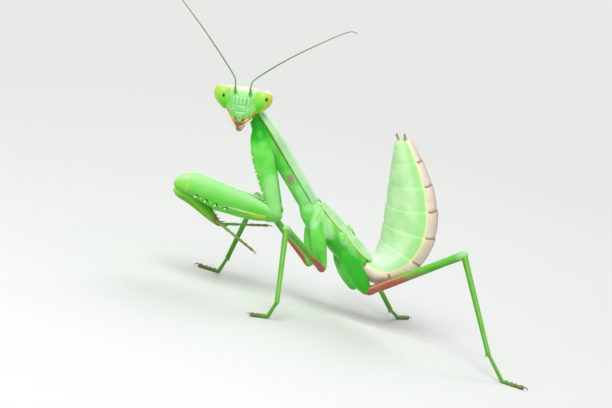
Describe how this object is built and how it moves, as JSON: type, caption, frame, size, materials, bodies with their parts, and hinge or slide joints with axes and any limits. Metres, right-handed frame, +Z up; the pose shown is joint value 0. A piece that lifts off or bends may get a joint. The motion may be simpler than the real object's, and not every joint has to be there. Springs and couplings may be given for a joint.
{
  "type": "praying mantis model",
  "caption": "Life-size still model of a green praying mantis nymph, head turned to one side, forelegs folded and abdomen curled up over its back.",
  "frame": {"origin": "middle of the box around the animal, on the floor it stands on", "axes": "+Z up, the animal faces -X, its left side is -Y"},
  "size_m": [0.0496, 0.0309, 0.0334],
  "materials": {
    "body_green": "satin waxy cuticle, bright leaf green",
    "deep_green": "satin waxy cuticle, deeper green",
    "mint_plate": "satin waxy cuticle, pale mint green",
    "pale_abdomen": "satin cuticle, pale mint green with cream and rose plates",
    "eye": "smooth glossy compound eye, yellow-green",
    "brown": "dry brown cuticle",
    "mouth": "orange-brown cuticle"
  },
  "bodies": {
    "root": {"head": "body_green", "neck": "body_green", "prothorax": "body_green", "mesothorax": "body_green", "fore_left_coxa": "body_green", "fore_left_trochanter": "body_green", "fore_left_femur": "body_green", "fore_right_coxa": "body_green", "fore_right_trochanter": "body_green", "fore_right_femur": "body_green", "mid_left_coxa": "body_green", "mid_left_femur": "body_green", "mid_left_tibia": "body_green", "mid_right_coxa": "body_green", "mid_right_femur": "body_green", "mid_right_tibia": "body_green", "hind_left_coxa": "body_green", "hind_left_femur": "body_green", "hind_left_tibia": "body_green", "hind_right_coxa": "body_green", "hind_right_femur": "body_green", "hind_right_tibia": "body_green", "metathorax": "deep_green", "antenna_left_base": "deep_green", "antenna_right_base": "deep_green", "fore_left_tibia": "deep_green", "fore_left_tarsus": "deep_green", "fore_right_tibia": "deep_green", "fore_right_tarsus": "deep_green", "mid_left_tarsus": "deep_green", "mid_right_tarsus": "deep_green", "hind_left_tarsus": "deep_green", "hind_right_tarsus": "deep_green", "pronotum": "mint_plate", "wing_pad_fore_left": "mint_plate", "wing_pad_fore_right": "mint_plate", "wing_pad_hind_left": "mint_plate", "wing_pad_hind_right": "mint_plate", "abdomen_1": "pale_abdomen", "abdomen_2": "pale_abdomen", "abdomen_3": "pale_abdomen", "abdomen_4": "pale_abdomen", "abdomen_5": "pale_abdomen", "abdomen_6": "pale_abdomen", "abdomen_7": "pale_abdomen", "eye_left": "eye", "eye_right": "eye", "antenna_left_lower": "brown", "antenna_left_upper": "brown", "antenna_right_lower": "brown", "antenna_right_upper": "brown", "cercus_left": "brown", "cercus_right": "brown", "mid_left_toes": "brown", "mid_right_toes": "brown", "hind_left_toes": "brown", "hind_right_toes": "brown", "mouthparts": "mouth"}
  },
  "joints": []
}
